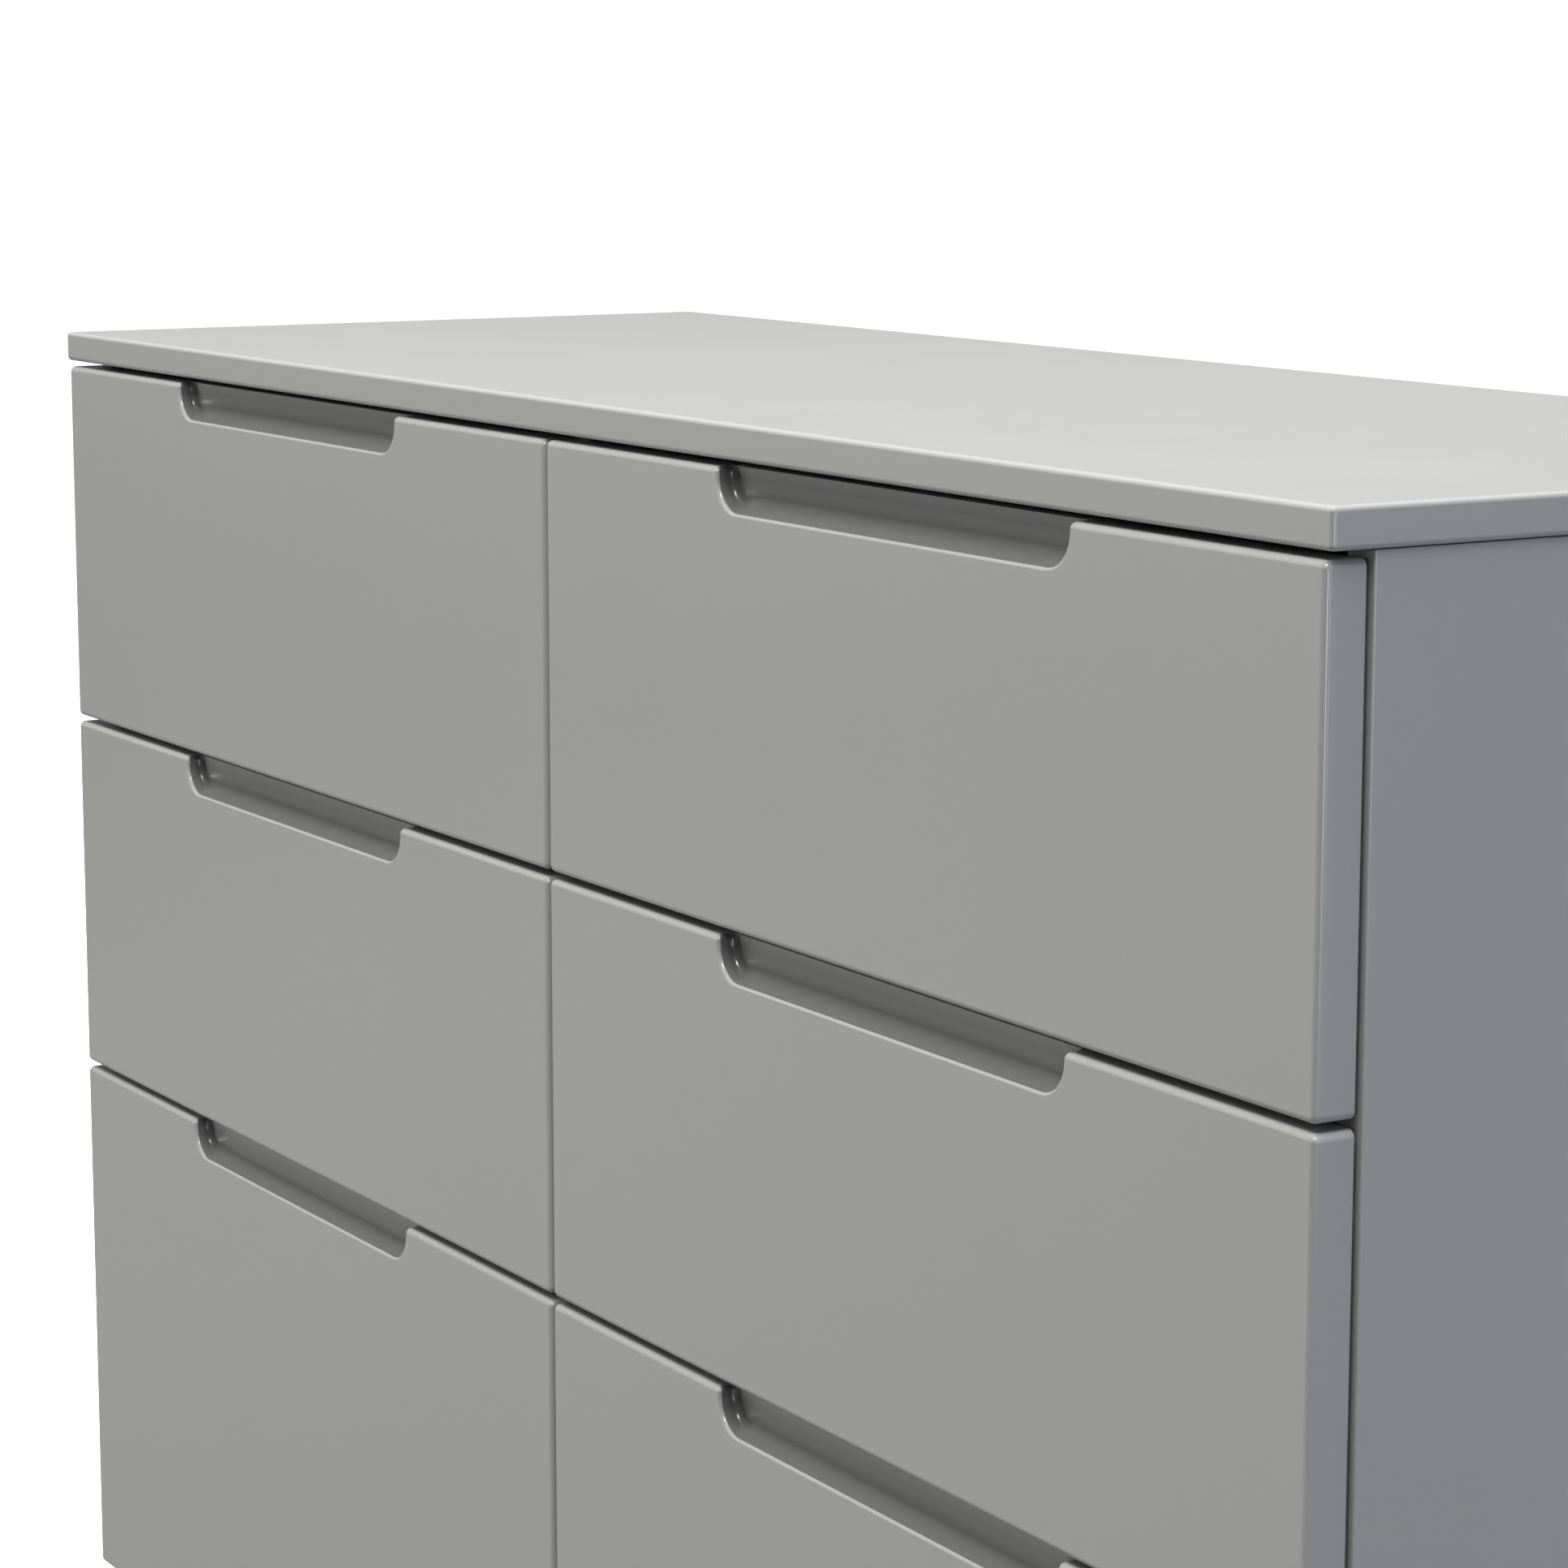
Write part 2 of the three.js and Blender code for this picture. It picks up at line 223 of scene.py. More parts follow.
def addNoise(tree, place, spacing, detail=2, stretch=(1, 1, 1)):
    # noise whose spots are about the given number of millimetres apart
    turned = addNode(tree, "ShaderNodeMapping", {"Scale": stretch}, {"Vector": place})
    noise = addNode(tree, "ShaderNodeTexNoise", {"Scale": 1 / (spacing * mm), "Detail": detail},
                    {"Vector": turned.outputs[0]})
    return noise.outputs["Fac"]


def addBump(tree, shader, height, heightMm):
    bump = addNode(tree, "ShaderNodeBump", {"Strength": 1.0, "Distance": heightMm * mm}, {"Height": height})
    tree.links.new(bump.outputs["Normal"], shader.inputs["Normal"])


def addDrift(tree, place, spacing, low, high):
    # a value that drifts between low and high over the board
    noise = addNoise(tree, place, spacing, 3)
    drift = addNode(tree, "ShaderNodeMapRange",
                    {"From Min": 0.3, "From Max": 0.7, "To Min": low, "To Max": high}, {"Value": noise})
    return drift.outputs["Result"]


def shadeOf(hexColour, factor):
    return tuple(min(1.0, value * factor) for value in linear(hexColour)[:3]) + (1.0,)


def addTint(tree, shader, value, hexColour, change):
    # the colour a little darker or lighter with a value from 0 to 1
    mix = addNode(tree, "ShaderNodeMix", {"data_type": "RGBA", 6: shadeOf(hexColour, 1 - change),
                                          7: shadeOf(hexColour, 1 + change)}, {0: value})
    tree.links.new(mix.outputs[2], shader.inputs["Base Color"])


def makeLacquer():
    # sprayed satin lacquer on MDF: an even grey with a soft sheen, and a faint orange peel in its
    # reflections. In the pulls the colour is multiplied darker, as painted shade for the recess.
    material, tree, shader, place = startMaterial("satinGreyLacquer")
    shader.inputs["IOR"].default_value = lacquer["ior"]
    drift = addDrift(tree, place, lacquer["driftSpacing"], 0, 1)
    addTint(tree, shader, drift, lacquer["colour"], lacquer["tint"])
    # painted shade: the mask on the drawer fronts multiplies the colour darker inside the pull recesses
    recessShade = addNode(tree, "ShaderNodeAttribute", {"attribute_name": "recessShade"})
    even = shader.inputs["Base Color"].links[0].from_socket
    mix = addNode(tree, "ShaderNodeMix",
                  {"data_type": "RGBA", "blend_type": "MULTIPLY", 7: linear(lacquer["recessShadeTone"])},
                  {0: recessShade.outputs["Fac"], 6: even})
    tree.links.new(mix.outputs[2], shader.inputs["Base Color"])
    roughness = addDrift(tree, place, lacquer["driftSpacing"] * 0.6, *lacquer["roughness"])
    tree.links.new(roughness, shader.inputs["Roughness"])
    addBump(tree, shader, addNoise(tree, place, lacquer["peelSpacing"]), lacquer["peelHeight"])
    finishes["grey_lacquer"] = material


def makeFoil():
    # printed foil wrapped on particleboard: pale and even, with a fine embossed grain
    material, tree, shader, place = startMaterial("paleWrappedFoil")
    addTint(tree, shader, addDrift(tree, place, foil["driftSpacing"], 0, 1), foil["colour"], foil["tint"])
    roughness = addDrift(tree, place, foil["driftSpacing"] * 0.5, *foil["roughness"])
    tree.links.new(roughness, shader.inputs["Roughness"])
    addBump(tree, shader, addNoise(tree, place, foil["grainSpacing"], 3, (1, 0.15, 1)), foil["grainHeight"])
    finishes["drawer_box_foil"] = material


def makeSheet():
    # painted hardboard: matt, with pressed fibres that show as soft flecks
    material, tree, shader, place = startMaterial("paintedHardboard")
    shader.inputs["Roughness"].default_value = sheet["roughness"]
    flecks = addNoise(tree, place, sheet["fleckSpacing"], 5, (1, 1, 0.55))
    spread = addNode(tree, "ShaderNodeMapRange", {"From Min": 0.35, "From Max": 0.65}, {"Value": flecks})
    addTint(tree, shader, spread.outputs["Result"], sheet["colour"], sheet["tint"])
    addBump(tree, shader, addNoise(tree, place, sheet["fibreSpacing"], 4, (1, 1, 0.5)), sheet["fibreHeight"])
    finishes["hardboard_sheet"] = material


def makeNylon():
    # moulded nylon: off-white and slightly waxy, with the light passing a little way in
    material, tree, shader, place = startMaterial("mouldedNylon")
    shader.inputs["Roughness"].default_value = nylon["roughness"]
    shader.inputs["Subsurface Weight"].default_value = nylon["lightInside"]
    shader.inputs["Subsurface Scale"].default_value = nylon["lightDepth"]
    addTint(tree, shader, addDrift(tree, place, nylon["driftSpacing"], 0, 1), nylon["colour"], nylon["tint"])
    addBump(tree, shader, addNoise(tree, place, nylon["flowSpacing"], 2, (1, 0.2, 1)), nylon["flowHeight"])
    finishes["runner_nylon"] = material


def makeGlidePlastic():
    # moulded polyethylene, spark-eroded grain: dark grey and dull
    material, tree, shader, place = startMaterial("grainedDarkPlastic")
    shader.inputs["Roughness"].default_value = glidePlastic["roughness"]
    drift = addDrift(tree, place, glidePlastic["driftSpacing"], 0, 1)
    addTint(tree, shader, drift, glidePlastic["colour"], glidePlastic["tint"])
    addBump(tree, shader, addNoise(tree, place, glidePlastic["grainSpacing"]), glidePlastic["grainHeight"])
    finishes["glide_plastic"] = material


def makeZinc():
    # bright zinc plate on pressed steel: cool grey, with a faint mottle
    material, tree, shader, place = startMaterial("zincPlatedSteel")
    shader.inputs["Metallic"].default_value = 1.0
    addTint(tree, shader, addDrift(tree, place, zinc["mottleSpacing"], 0, 1), zinc["colour"], zinc["tint"])
    roughness = addDrift(tree, place, zinc["driftSpacing"], *zinc["roughness"])
    tree.links.new(roughness, shader.inputs["Roughness"])
    addBump(tree, shader, addNoise(tree, place, zinc["grainSpacing"]), zinc["grainHeight"])
    return material


makeLacquer()
makeFoil()
makeSheet()
makeNylon()
makeGlidePlastic()
zincPlate = makeZinc()
print("finishes are made")


# Surfaces

def gridFaces(indices, closed=False):
    # quads between neighbouring points of a grid, whose first axis may close on itself
    if closed:
        indices = np.concatenate([indices, indices[:1]])
    quads = np.stack([indices[:-1, :-1], indices[1:, :-1], indices[1:, 1:], indices[:-1, 1:]], -1)
    return quads.reshape(-1, 4).tolist()


def addPiece(name, points, faces, slot, body, nodes=(), sharpAngle=38, material=None, recessShade=None):
    # points in millimetres, at their place in the chest; the last argument gives each point's share of the
    # painted shade that darkens a cut recess
    mesh = bpy.data.meshes.new(name)
    mesh.from_pydata((np.asarray(points).reshape(-1, 3) * mm).tolist(), [], faces)
    # the painted-shade mask is stored on the mesh, one value a point
    if recessShade is not None:
        mesh.attributes.new("recessShade", "FLOAT", "POINT").data.foreach_set("value", recessShade.astype(np.float32))
    solid = bmesh.new()
    solid.from_mesh(mesh)
    bmesh.ops.remove_doubles(solid, verts=solid.verts, dist=1e-6)
    bmesh.ops.recalc_face_normals(solid, faces=solid.faces)
    openEdges = sum(not edge.is_manifold for edge in solid.edges)
    solid.to_mesh(mesh)
    solid.free()
    if openEdges:
        print(name, "has", openEdges, "open edges")
    mesh.shade_smooth()
    mesh.set_sharp_from_angle(angle=math.radians(sharpAngle))
    mesh.materials.append(material or finishes[slot])
    piece = bpy.data.objects.new(name, mesh)
    bpy.context.collection.objects.link(piece)
    normals = piece.modifiers.new("flatFacesFirst", "WEIGHTED_NORMAL")
    normals.keep_sharp = True
    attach(piece, body)
    if nodes:
        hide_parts(*nodes)
    return piece


def boxOf(node):
    # a CAD node's lowest and highest corners in millimetres
    low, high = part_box(node)
    return np.array(low) / mm, np.array(high) / mm


def roundedBoard(low, high, radius, steps=4):
    # A sphere's grid of longitude and latitude, doubled where it crosses its axes and pushed apart there,
    # so that each of its eight parts becomes a corner of the board, with flat faces between them.
    quarter = np.linspace(0, 90, steps + 1)
    longitude = np.radians(np.concatenate([quarter, quarter + 90, quarter + 180, quarter + 270]))[:, None]
    latitude = np.radians(np.concatenate([quarter - 90, quarter]))[None, :]
    count = steps + 1
    signX = np.repeat([1, -1, -1, 1], count)[:, None]
    signY = np.repeat([1, 1, -1, -1], count)[:, None]
    signZ = np.repeat([-1, 1], count)[None, :]
    shape = (4 * count, 2 * count)
    normals = np.stack(np.broadcast_arrays(np.cos(latitude) * np.cos(longitude),
                                           np.cos(latitude) * np.sin(longitude), np.sin(latitude)), -1)
    signs = np.stack([np.broadcast_to(sign, shape) for sign in (signX, signY, signZ)], -1)
    low, high = np.array(low, float), np.array(high, float)
    points = (low + high) / 2 + signs * ((high - low) / 2 - radius) + radius * normals
    indices = np.arange(points[..., 0].size).reshape(shape)
    return points, gridFaces(indices, closed=True) + [indices[:, 0].tolist(), indices[:, -1].tolist()]


def carriedSection(corners, radii, start, end, ease, axis, steps=5):
    # A section with rounded corners, carried straight along an axis. Each corner becomes an arc between the
    # two points where it leaves its sides, and the section draws in along a quarter circle at both ends.
    corners, radii = np.array(corners, float), np.array(radii, float)
    arriving = corners - np.roll(corners, 1, 0)
    arriving /= np.linalg.norm(arriving, axis=1, keepdims=True)
    leaving = np.roll(arriving, -1, 0)
    across = arriving[:, 0] * leaving[:, 1] - arriving[:, 1] * leaving[:, 0]
    turn = np.arctan2(across, (arriving * leaving).sum(1))
    bend = np.sign(turn)
    begin = corners - arriving * (radii * np.tan(np.abs(turn) / 2))[:, None]
    angle = turn[:, None] * np.linspace(0, 1, steps + 1)
    outX, outY = arriving[:, 1:2], -arriving[:, 0:1]
    outward = np.stack([outX * np.cos(angle) - outY * np.sin(angle),
                        outX * np.sin(angle) + outY * np.cos(angle)], -1)
    centre = begin - (bend * radii)[:, None] * outward[:, 0]
    outline = centre[:, None] + (bend * radii)[:, None, None] * outward
    mitre = (outward[:, 0] + outward[:, -1]) / (1 + (outward[:, 0] * outward[:, -1]).sum(1))[:, None]
    away = np.where((radii > 0)[:, None, None], outward, mitre[:, None])
    outline, away = outline.reshape(-1, 2), away.reshape(-1, 2)
    swing = np.radians(np.linspace(0, 90, steps + 1))
    inset = ease * (1 - np.sin(swing))
    along = np.concatenate([start + ease * (1 - np.cos(swing)), end - ease * (1 - np.cos(swing[::-1]))])
    inset = np.concatenate([inset, inset[::-1]])
    flat = outline[:, None] - inset[None, :, None] * away[:, None]
    depth = np.broadcast_to(along, flat.shape[:2])
    order = [flat[..., 0], depth, flat[..., 1]] if axis == "y" else [flat[..., 0], flat[..., 1], depth]
    indices = np.arange(depth.size).reshape(depth.shape)
    ends = [indices[:, 0].tolist(), indices[:, -1].tolist()]
    return np.stack(order, -1), gridFaces(indices, closed=True) + ends


def turnedHeads(centres, facing, radius, height, edge, lobes=0, recess=0.0, turns=24):
    # Round heads, all alike. Rings run from the middle of a recess over its rim, the flat face and the
    # rounded edge to the foot. The recess rim swings in and out with the angle: four lobes make a cross.
    centres = np.array(centres, float).reshape(-1, 3)
    around = np.radians(np.arange(turns) * 360 / turns)
    swing = np.radians(np.linspace(0, 90, 5))
    narrow, lobe, plain = 0.14, 0.42, 0.3       # shares of the radius: between lobes, along them, and round
    rim = radius * plain * np.ones(turns)
    if lobes:
        rim = radius * (narrow + lobe * np.abs(np.cos(around * lobes / 2)) ** 4)
    rings = [(0 * rim, -recess), (rim * 0.75, -recess), (rim, 0)]
    rings += [(radius - edge * (1 - math.sin(t)) + 0 * rim, -edge * (1 - math.cos(t))) for t in swing]
    rings += [(radius + 0 * rim, -height)]
    reach = np.stack([ring[0] for ring in rings])
    rise = np.array([ring[1] for ring in rings])[:, None]
    facing = np.array(facing, float)
    across = np.array([0, 0, 1.0]) if abs(facing[2]) < 0.5 else np.array([1.0, 0, 0])
    other = np.cross(facing, across)
    sideways = (reach * np.cos(around))[..., None] * across + (reach * np.sin(around))[..., None] * other
    one = sideways + rise[..., None] * facing
    points = centres[:, None, None] + one[None]
    size = one[..., 0].size
    indices = np.arange(size).reshape(one.shape[:2]).T
    single = gridFaces(indices, closed=True) + [indices[:, -1].tolist()]
    faces = [[corner + size * copy for corner in face] for copy in range(len(centres)) for face in single]
    return points, faces


# Carcass

carcass = {
    "topRadius": 2.2, "boardEase": 0.7, "sideEdge": 1.0, "sideEnd": 0.5, "sheetEase": 0.25,
    "grooveDepth": 6, "groove": 3.4, "sheet": 3,
}


def addCarcass():
    low, high = boxOf("top_panel")
    addPiece("topPanel", *roundedBoard(low, high, carcass["topRadius"], 8), "grey_lacquer", "carcass",
             ["top_panel"])
    backLow, backHigh = boxOf("back_panel_left")
    spare = (carcass["groove"] - carcass["sheet"]) / 2
    grooveFront, grooveBack = backLow[1] - spare, backHigh[1] + spare
    for column in columns:
        low, high = boxOf(f"side_panel_{column}")
        inner, outer = (high[0], low[0]) if column == "left" else (low[0], high[0])
        side = 1 if column == "right" else -1
        front, back = low[1], high[1]
        deep = inner + side * carcass["grooveDepth"]
        edge = carcass["sideEdge"]
        corners = [(inner, front), (outer, front), (outer, back), (inner, back), (inner, grooveBack),
                   (deep, grooveBack), (deep, grooveFront), (inner, grooveFront)]
        radii = [edge, edge, edge * 0.6, edge * 0.6, 0, 0, 0, 0]
        if side < 0:
            corners, radii = corners[::-1], radii[::-1]
        board = carriedSection(corners, radii, low[2], high[2], carcass["sideEnd"], "z")
        addPiece(f"sidePanel.{column}", *board, "grey_lacquer", "carcass", [f"side_panel_{column}"])
        low, high = boxOf(f"back_panel_{column}")
        addPiece(f"backPanel.{column}", *roundedBoard(low, high, carcass["sheetEase"], 2), "hardboard_sheet",
                 "carcass", [f"back_panel_{column}"])
    for name, node in [("centreDivider", "centre_divider"), ("bottomPanel", "bottom_panel"),
                       ("plinthFront", "plinth_front"), ("plinthBack", "plinth_back"),
                       ("plinthBrace", "plinth_brace")]:
        low, high = boxOf(node)
        addPiece(name, *roundedBoard(low, high, carcass["boardEase"]), "grey_lacquer", "carcass", [node])


glide = {"edge": 1.2}


def addGlides():
    for side in ("left", "centre", "right"):
        for end in ("front", "back"):
            node = f"floor_glide_{side}_{end}"
            low, high = boxOf(node)
            middle = (low + high) / 2
            radius, height = (high[0] - low[0]) / 2, high[2] - low[2]
            heads = turnedHeads([middle[0], middle[1], low[2]], (0, 0, -1), radius, height, glide["edge"],
                                turns=32)
            addPiece(f"floorGlide.{side}.{end}", *heads, "glide_plastic", "carcass", [node])


runner = {"reach": 7, "flange": 2, "height": 10, "edge": 0.6, "ease": 0.3, "screws": (22, 165, 308),
          "screwRadius": 3.4, "screwRise": 0.25, "screwHeight": 0.8, "screwEdge": 0.2, "screwRecess": 0.6}


def addRunners():
    for row in rows:
        for column in columns:
            for side, inward in (("left", 1), ("right", -1)):
                node = f"runner_{row}_{column}_{side}"
                low, high = boxOf(node)
                back = low[0] if inward > 0 else high[0]
                wall = back - inward * fitGap
                flange, face = wall + inward * runner["flange"], wall + inward * runner["reach"]
                middle = (low[2] + high[2]) / 2
                half, slim = (high[2] - low[2]) / 2, runner["height"] / 2
                edge = runner["edge"]
                corners = [(back, middle - half), (flange, middle - half), (flange, middle - slim),
                           (face, middle - slim), (face, middle + slim), (flange, middle + slim),
                           (flange, middle + half), (back, middle + half)]
                radii = [0, edge, edge, edge * 1.6, edge * 1.6, edge, edge, 0]
                if inward < 0:
                    corners, radii = corners[::-1], radii[::-1]
                strip = carriedSection(corners, radii, low[1], high[1], runner["ease"], "y")
                addPiece(f"runner.{row}.{column}.{side}", *strip, "runner_nylon", "carcass", [node])
                outside = face + inward * runner["screwRise"]
                centres = [(outside, low[1] + along, middle) for along in runner["screws"]]
                heads = turnedHeads(centres, (inward, 0, 0), runner["screwRadius"], runner["screwHeight"],
                                    runner["screwEdge"], 4, runner["screwRecess"])
                addPiece(f"runnerScrews.{row}.{column}.{side}", *heads, "runner_nylon", "carcass",
                         material=zincPlate)


pins = {"radius": 2.2, "height": 0.7, "edge": 0.4, "proud": 0.45, "spacing": 95, "fromJoint": 4.2,
        "fromFoot": 40, "fromTop": 20, "fromMiddle": 45, "fromEnd": 30}


def addBackPins():
    high = boxOf("back_panel_right")[1]
    divider = boxOf("centre_divider")
    bottom = boxOf("bottom_panel")
    up = np.arange(divider[0][2] + pins["fromFoot"], divider[1][2] - pins["fromTop"], pins["spacing"])
    across = np.arange(pins["fromMiddle"], high[0] - pins["fromEnd"], pins["spacing"])
    seam = [(side * pins["fromJoint"], z) for side in (-1, 1) for z in up]
    foot = [(side * x, (bottom[0][2] + bottom[1][2]) / 2) for side in (-1, 1) for x in across]
    centres = [(x, high[1] + pins["proud"], z) for x, z in seam + foot]
    heads = turnedHeads(centres, (0, 1, 0), pins["radius"], pins["height"], pins["edge"], turns=12)
    addPiece("backPanelPins", *heads, "hardboard_sheet", "carcass", material=zincPlate)


addCarcass()
addGlides()
addRunners()
addBackPins()
print("carcass is built")


# Drawer fronts

front = {
    "edge": 2.8, "backEdge": 1.1, "corner": 3.2,
    "pullWidth": 254.6, "pullDrop": 18.5, "pullDepth": 9.2, "pullCorner": 15.4, "pullRim": 2.7,
    "filletAtEnds": 3, "filletAtBottom": 7, "edgeAtEnds": 1.8, "edgeAtBottom": 1.3, "edgeFade": 1.3,
    # the last one sets how quickly the painted shade in the pull fades in over the rim
    "lipEdge": 0.3, "lipFade": 6, "recessShadeFade": 3,
    "edgeSteps": 8, "cornerSteps": 8, "rimSteps": 8, "clippedSteps": 4, "hollowSteps": 20, "lipSteps": 6,
}


def arcPoints(centre, radius, fromAngle, toAngle, steps, outward=1):
    # points round an arc in X and Z, with the direction out of the board at each: away from the arc's centre,
    # or towards it round a hollow
    angle = np.radians(np.linspace(fromAngle, toAngle, steps + 1))
    away = np.stack([np.cos(angle), np.sin(angle)], -1)
    return np.array(centre) + radius * away, outward * away


def drawerFront(low, high):
    # The front is a path round its outline in X and Z, with a profile carried along it from the face over
    # the rounded edge and back along the side. The path dips into the pull, where the profile's edge is
    # tighter and ends in a fillet on the pull's back wall, which widens to a cove along the level bottom.
    # Near the rim the fillet stops where it would rise over the top edge. A strip behind the pull is the lip,
    # and three flat faces close the face, the pull's back wall and the back.
    (left, frontY, foot), (right, backY, top) = low, high
    middle = (left + right) / 2
    edge, corner, steps = front["edge"], front["corner"], front["edgeSteps"]
    halfPull, rim, hollow = front["pullWidth"] / 2, front["pullRim"], front["pullCorner"]
    fillet, rimSteps, clippedSteps = front["filletAtEnds"], front["rimSteps"], front["clippedSteps"]
    depth, floor = front["pullDepth"], top - front["pullDrop"]
    turnSteps = front["cornerSteps"]
    clipAngle = math.degrees(math.asin(rim / (rim + fillet)))    # up the rim, where the fillet is cut off

    outerArcs = [arcPoints((left + corner, top - corner), corner, 90, 180, turnSteps),
                 arcPoints((left + corner, foot + corner), corner, 180, 270, turnSteps),
                 arcPoints((right - corner, foot + corner), corner, 270, 360, turnSteps),
                 arcPoints((right - corner, top - corner), corner, 0, 90, turnSteps)]
    tangentLeft, tangentRight = middle - halfPull - rim, middle + halfPull + rim
    up = np.array([[0.0, 1.0]])
    outer = np.concatenate([[[tangentLeft, top]]] + [arc[0] for arc in outerArcs] + [[[tangentRight, top]]])
    outerAway = np.concatenate([up] + [arc[1] for arc in outerArcs] + [up])

    hollowCentre = (middle + halfPull - hollow, floor + hollow)
    halfPath = [arcPoints((tangentRight, top - rim), rim, 90, 180 - clipAngle, rimSteps),
                arcPoints((tangentRight, top - rim), rim, 180 - clipAngle, 180, clippedSteps),
                arcPoints(hollowCentre, hollow, 0, -90, front["hollowSteps"], -1)]
    inner = np.concatenate([arc[0] for arc in halfPath])
    innerAway = np.concatenate([arc[1] for arc in halfPath])
    clipped = np.arange(len(inner)) <= rimSteps
    mirror = np.array([-1.0, 1.0])
    inner = np.concatenate([inner, np.array([2 * middle, 0]) + mirror * inner[::-1]])
    innerAway = np.concatenate([innerAway, mirror * innerAway[::-1]])
    clipped = np.concatenate([clipped, clipped[::-1]])

    # 0 at the pull's ends, rising smoothly to 1 over the lower half of its corner, and 1 along the bottom
    share = np.clip(np.linspace(-1, 1, front["hollowSteps"] + 1), 0, 1)
    level = np.concatenate([np.zeros(rimSteps + clippedSteps + 2), share ** 2 * (3 - 2 * share)])
    level = np.concatenate([level, level[::-1]])
    fillets = fillet + (front["filletAtBottom"] - fillet) * level
    edges = front["edgeAtEnds"] + (front["edgeAtBottom"] - front["edgeAtEnds"]) * level

    # edge radius along the pull: from the outer edge's to the pull's own over the rim
    overRim = np.where(innerAway[:, 1] > 0, np.degrees(np.arcsin(np.clip(innerAway[:, 1], 0, 1))) / 90, 0)
    overRim[np.abs(inner[:, 0] - middle) < halfPull - 1e-6] = 0
    pullEdge = edges + (edge - edges) * overRim ** front["edgeFade"]

    swing = np.radians(np.linspace(0, 90, steps + 1))

    def roundOver(path, away, radius):
        offset = -radius[:, None] * (1 - np.sin(swing))
        flat = path[:, None] + offset[..., None] * away[:, None]
        return np.stack([flat[..., 0], frontY + radius[:, None] * (1 - np.cos(swing)), flat[..., 1]], -1)

    def straight(path, y):
        return np.stack([path[:, 0], frontY + y + 0 * path[:, 0], path[:, 1]], -1)[:, None]

    backEdge = front["backEdge"]

    def backRound(path, away):
        flat = path[:, None] - (backEdge * (1 - np.cos(swing)))[None, :, None] * away[:, None]
        y = np.broadcast_to(backY - backEdge + backEdge * np.sin(swing), flat.shape[:2])
        return np.stack([flat[..., 0], y, flat[..., 1]], -1)

    outerGrid = np.concatenate([roundOver(outer, outerAway, np.full(len(outer), edge)),
                                straight(outer, depth - fillet), backRound(outer, outerAway)], 1)

    # fillet: a quarter circle out of the wall, less where the rim's share of it would pass the top edge
    rise = np.clip(innerAway[:, 1], 1e-9, None)
    room = np.where(clipped, rim / rise - rim, fillets)
    sweep = np.arccos(np.clip(1 - np.minimum(room, fillets) / fillets, 0, 1))
    filletAngle = sweep[:, None] * np.linspace(0, 1, steps + 1)[1:]
    inward = fillets[:, None] * (1 - np.cos(filletAngle))
    flat = inner[:, None] + inward[..., None] * innerAway[:, None]
    filletY = frontY + depth - fillets[:, None] * (1 - np.sin(filletAngle))
    filletGrid = np.stack([flat[..., 0], filletY, flat[..., 1]], -1)
    innerGrid = np.concatenate([roundOver(inner, innerAway, pullEdge), straight(inner, depth - fillets),
                                filletGrid], 1)

    # lip: its front edge follows the ends of the cut fillets, then runs straight with its own small rounding
    half = innerGrid[:rimSteps + 1, -1]
    fade = front["lipFade"] * np.linspace(0, 1, front["lipSteps"] + 1)[1:]
    reach = half[-1, 0] - middle
    straightX = np.concatenate([reach - fade, -(reach - fade[::-1])]) + middle
    lipX = np.concatenate([half[:, 0], straightX, 2 * middle - half[::-1, 0]])
    lipY = np.concatenate([half[:, 1], np.full(len(straightX), frontY + depth), half[::-1, 1]])
    ease = np.clip((reach - np.abs(lipX - middle)) / front["lipFade"], 0, 1)
    ease = front["lipEdge"] * np.sin(ease * np.pi / 2)
    lipZ = top - ease[:, None] * (1 - np.sin(swing))
    behind = lipY[:, None] + ease[:, None] * (1 - np.cos(swing))
    lipFront = np.stack([np.broadcast_to(lipX[:, None], lipZ.shape), behind, lipZ], -1)
    topLine = np.stack([lipX, np.full(len(lipX), top)], -1)
    lipGrid = np.concatenate([lipFront, backRound(topLine, np.broadcast_to(up, topLine.shape))], 1)

    grids, faces, starts, count = [outerGrid, innerGrid, lipGrid], [], [], 0
    for grid in grids:
        indices = np.arange(grid[..., 0].size).reshape(grid.shape[:2]) + count
        faces += gridFaces(indices)
        starts.append(indices)
        count += indices.size
    outerIndex, innerIndex, lipIndex = starts
    faces.append(outerIndex[:, 0].tolist() + innerIndex[:, 0].tolist())                 # face
    faces.append(outerIndex[:, -1].tolist() + lipIndex[:, -1].tolist())                 # back
    wall = slice(rimSteps, -rimSteps)
    faces.append(innerIndex[wall, -1].tolist() + lipIndex[wall, 0].tolist()[::-1])    # back wall of the pull
    # painted shade: 1 on the pull's points past its edge rounding, fading to 0 over the rim, darkens the
    # recess in the lacquer
    recessShade = np.zeros(innerGrid.shape[:2])
    recessShade[:, steps:] = np.clip((1 - overRim[:, None]) * front["recessShadeFade"], 0, 1)
    recessShade = np.concatenate([np.zeros(outerIndex.size), recessShade.ravel(), np.zeros(lipIndex.size)])
    return np.concatenate([grid.reshape(-1, 3) for grid in grids]), faces, recessShade


buffer = {"radius": 2.7, "height": 1.15, "sunk": 0.3, "edge": 0.6,
          "fromMiddle": 4.3, "fromTop": 30, "fromFoot": 30}
box = {"edge": 1.0, "grooveEdge": 0.4, "endEase": 0.3, "ease": 0.5, "sheetEase": 0.25,
       "groove": 10.8, "grooveDepth": 5.5, "slot": 3.5, "slotDepth": 6, "slotRise": 10}
cam = {"radius": 7.4, "height": 1.4, "edge": 0.3, "recess": 1.2, "rise": 0.3,
       "behindFront": 34, "fromFoot": 32, "fromTop": 25.6}


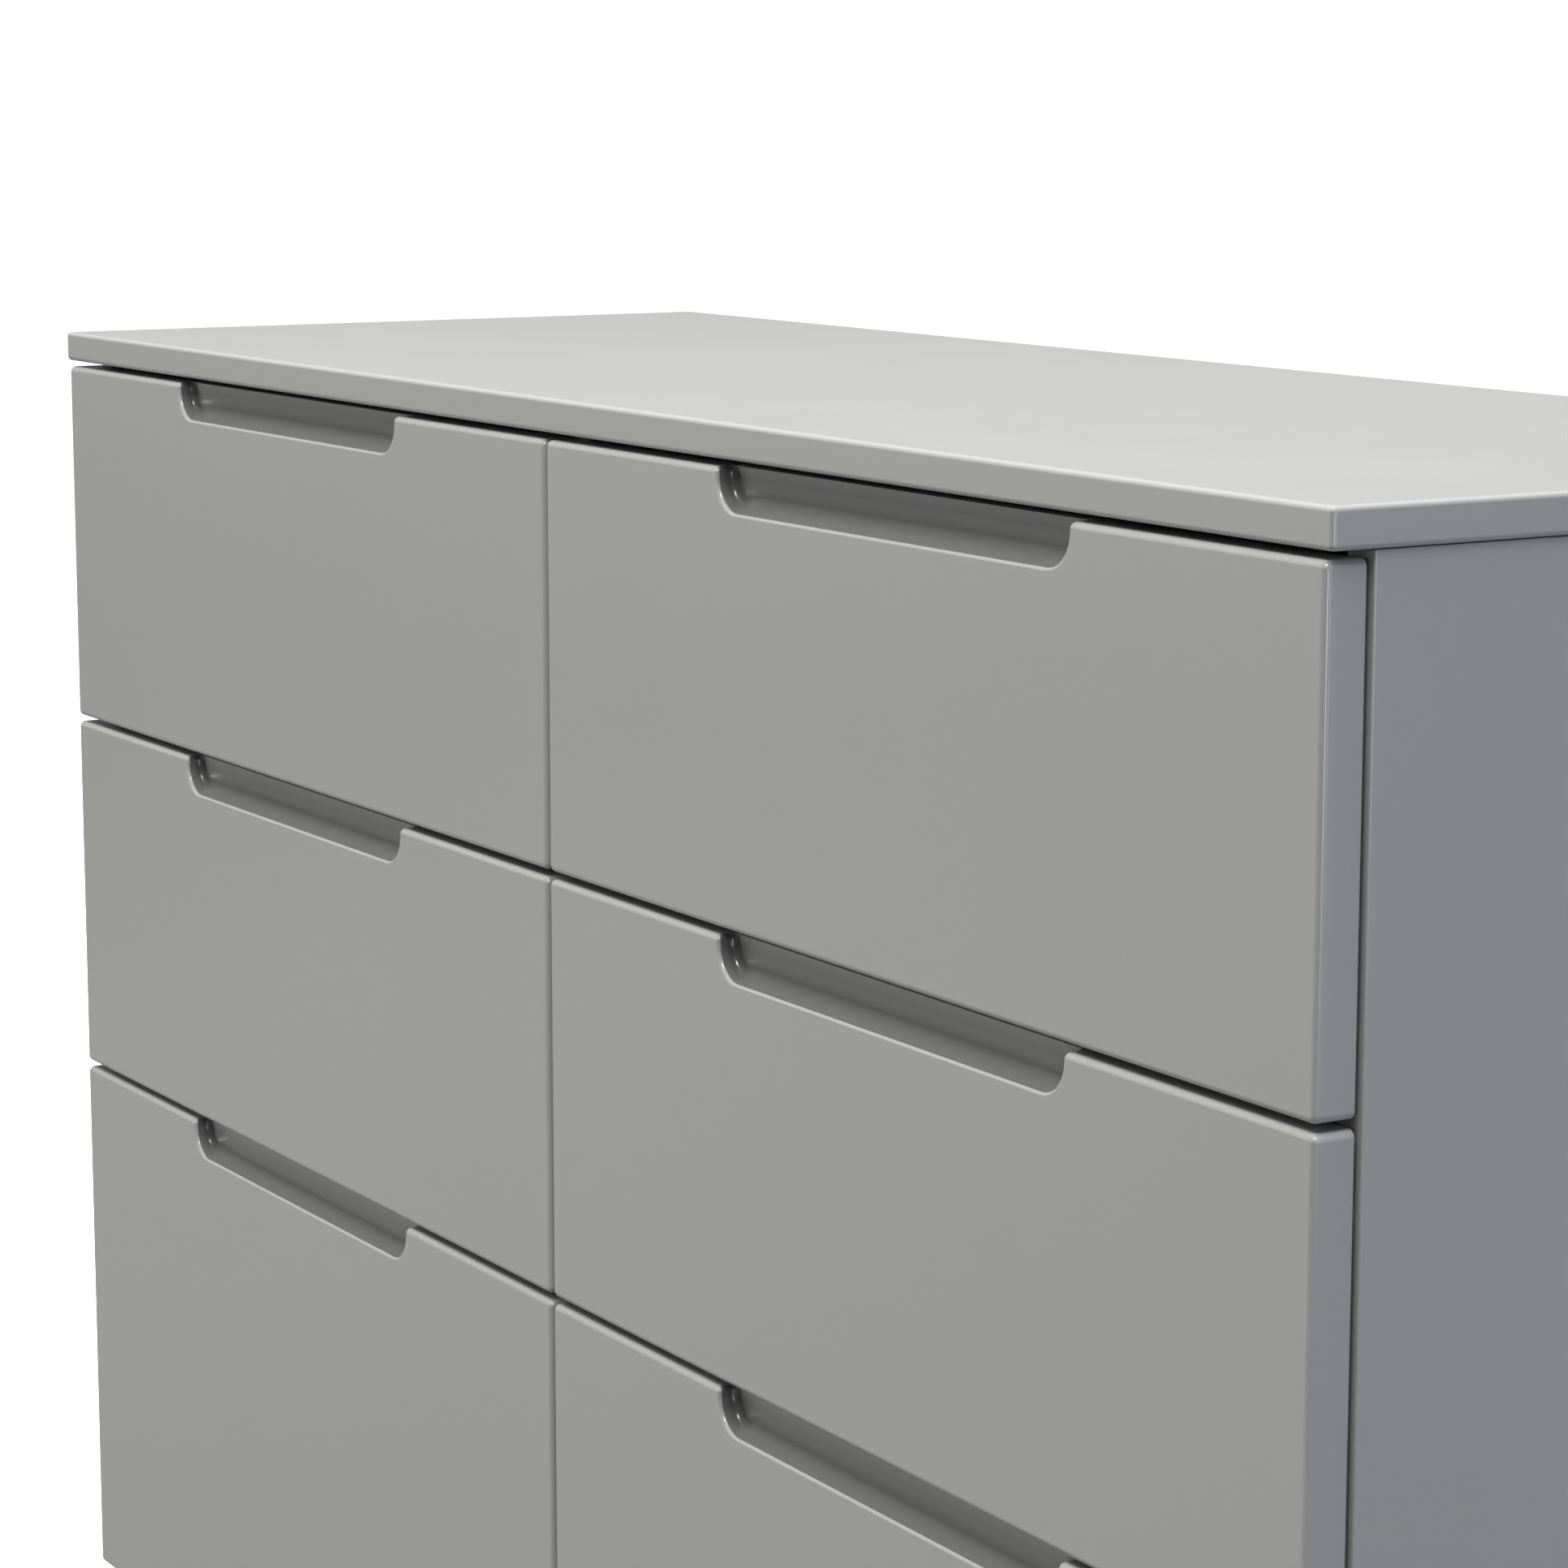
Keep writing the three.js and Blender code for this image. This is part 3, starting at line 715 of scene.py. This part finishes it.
def addDrawer(row, column):
    body = f"drawer_{row}_{column}"
    frontNode = f"{body}_front"
    low, high = boxOf(frontNode)
    points, faces, recessShade = drawerFront(low, high)
    # the front's mesh carries the painted-shade mask for its pull recess
    addPiece(f"drawerFront.{row}.{column}", points, faces, "grey_lacquer", body, [frontNode], recessShade=recessShade)

    runnerLow, runnerHigh = boxOf(f"runner_{row}_{column}_left")
    runnerZ = (runnerLow[2] + runnerHigh[2]) / 2
    for side, outward in (("left", -1), ("right", 1)):
        node = f"{body}_side_{side}"
        sideLow, sideHigh = boxOf(node)
        inner, outer = (sideHigh[0], sideLow[0]) if side == "left" else (sideLow[0], sideHigh[0])
        foot, top = sideLow[2], sideHigh[2]
        deep, slot = outer - outward * box["grooveDepth"], inner + outward * box["slotDepth"]
        grooveLow, grooveHigh = runnerZ - box["groove"] / 2, runnerZ + box["groove"] / 2
        slotLow, slotHigh = foot + box["slotRise"], foot + box["slotRise"] + box["slot"]
        corners = [(inner, foot), (outer, foot), (outer, grooveLow), (deep, grooveLow), (deep, grooveHigh),
                   (outer, grooveHigh), (outer, top), (inner, top), (inner, slotHigh), (slot, slotHigh),
                   (slot, slotLow), (inner, slotLow)]
        edge, grooveEdge = box["edge"], box["grooveEdge"]
        radii = [edge, edge, grooveEdge, 0, 0, grooveEdge, edge, edge, 0, 0, 0, 0]
        if outward < 0:
            corners, radii = corners[::-1], radii[::-1]
        board = carriedSection(corners, radii, sideLow[1], sideHigh[1], box["endEase"], "y")
        addPiece(f"drawerSide.{row}.{column}.{side}", *board, "drawer_box_foil", body, [node])
    backLow, backHigh = boxOf(f"{body}_back")
    addPiece(f"drawerBack.{row}.{column}", *roundedBoard(backLow, backHigh, box["ease"]),
             "drawer_box_foil", body, [f"{body}_back"])
    sheetLow, sheetHigh = boxOf(f"{body}_bottom")
    addPiece(f"drawerBottom.{row}.{column}", *roundedBoard(sheetLow, sheetHigh, box["sheetEase"], 2),
             "hardboard_sheet", body, [f"{body}_bottom"])

    # cam fittings that hold the front, in the inner faces of the sides
    for side, inward in (("left", 1), ("right", -1)):
        sideLow, sideHigh = boxOf(f"{body}_side_{side}")
        inner = sideHigh[0] if side == "left" else sideLow[0]
        heights = (sideLow[2] + cam["fromFoot"], sideHigh[2] - cam["fromTop"])
        centres = [(inner + inward * cam["rise"], sideLow[1] + cam["behindFront"], z) for z in heights]
        heads = turnedHeads(centres, (inward, 0, 0), cam["radius"], cam["height"], cam["edge"], 4,
                            cam["recess"], turns=40)
        addPiece(f"camFittings.{row}.{column}.{side}", *heads, "runner_nylon", body, material=zincPlate)

    # soft buffers behind the front, where it meets the carcass edges
    wallSide = -1 if column == "left" else 1
    panelLow, panelHigh = boxOf(f"side_panel_{column}")
    places = ((panelLow[0] + panelHigh[0]) / 2, wallSide * buffer["fromMiddle"])
    heights = (high[2] - buffer["fromTop"], low[2] + buffer["fromFoot"])
    centres = [(x, high[1] + buffer["height"], z) for z in heights for x in places]
    height = buffer["height"] + buffer["sunk"]
    heads = turnedHeads(centres, (0, 1, 0), buffer["radius"], height, buffer["edge"])
    addPiece(f"buffers.{row}.{column}", *heads, "runner_nylon", body)


for row in rows:
    for column in columns:
        addDrawer(row, column)
print("drawers are built")
